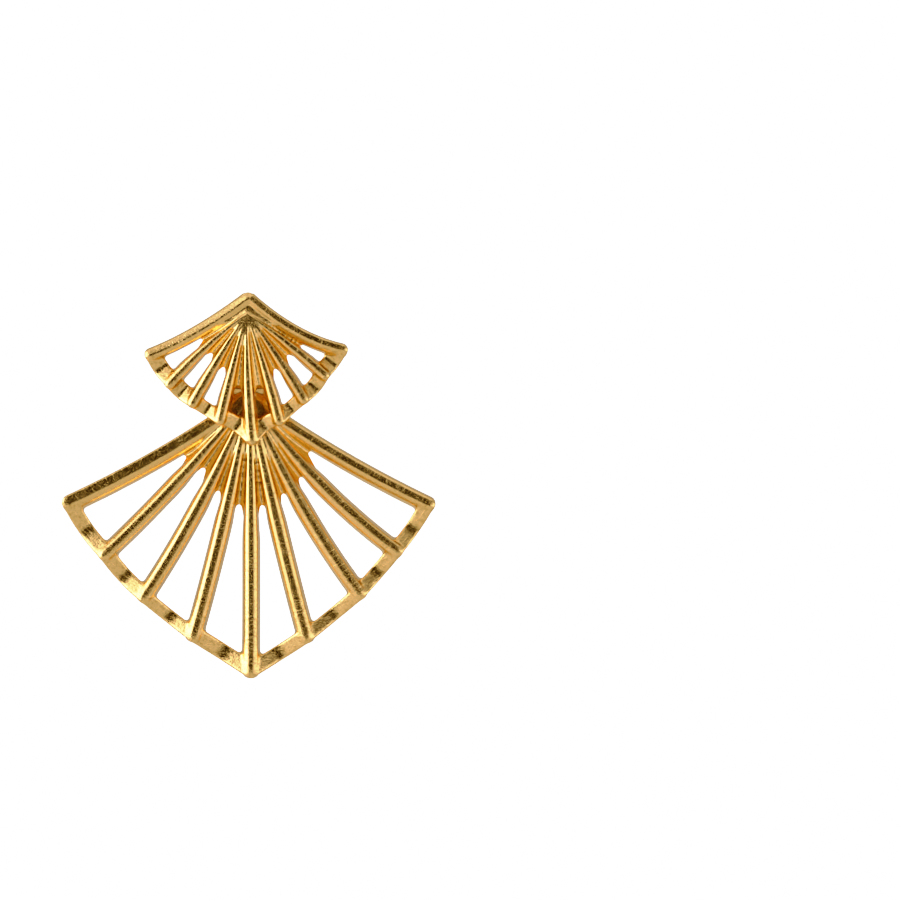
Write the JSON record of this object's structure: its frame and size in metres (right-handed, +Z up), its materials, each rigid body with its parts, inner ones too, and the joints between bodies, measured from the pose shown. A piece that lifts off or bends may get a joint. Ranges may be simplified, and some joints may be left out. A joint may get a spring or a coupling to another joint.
{
  "type": "fan earring",
  "caption": "Drop earring of two ribbed openwork metal fans, a small one on a straight ear post and a large one that hangs and swings behind it from a hinge.",
  "frame": {"origin": "middle of the round seat where the ear post leaves the back of the front fan", "axes": "+Y along the ear post, out of the back; +Z up as worn; +X to the right of someone looking at the front"},
  "size_m": [0.0369, 0.0117, 0.038],
  "materials": {
    "satin_gold_plate": "cast brass, satin brushed and gold plated",
    "drawn_gold_wire": "drawn wire, polished and gold plated"
  },
  "bodies": {
    "stud": {"front_fan": "satin_gold_plate", "hinge_pin": "drawn_gold_wire", "ear_post": "drawn_gold_wire"},
    "drop": {"drop_fan": "satin_gold_plate"}
  },
  "joints": [
    {"name": "drop_swing", "type": "hinge", "parent": "stud", "child": "drop", "pos_m": [0, 0.00144, -0.0057], "axis": [1, 0, 0], "range_deg": [-3, 75]}
  ]
}
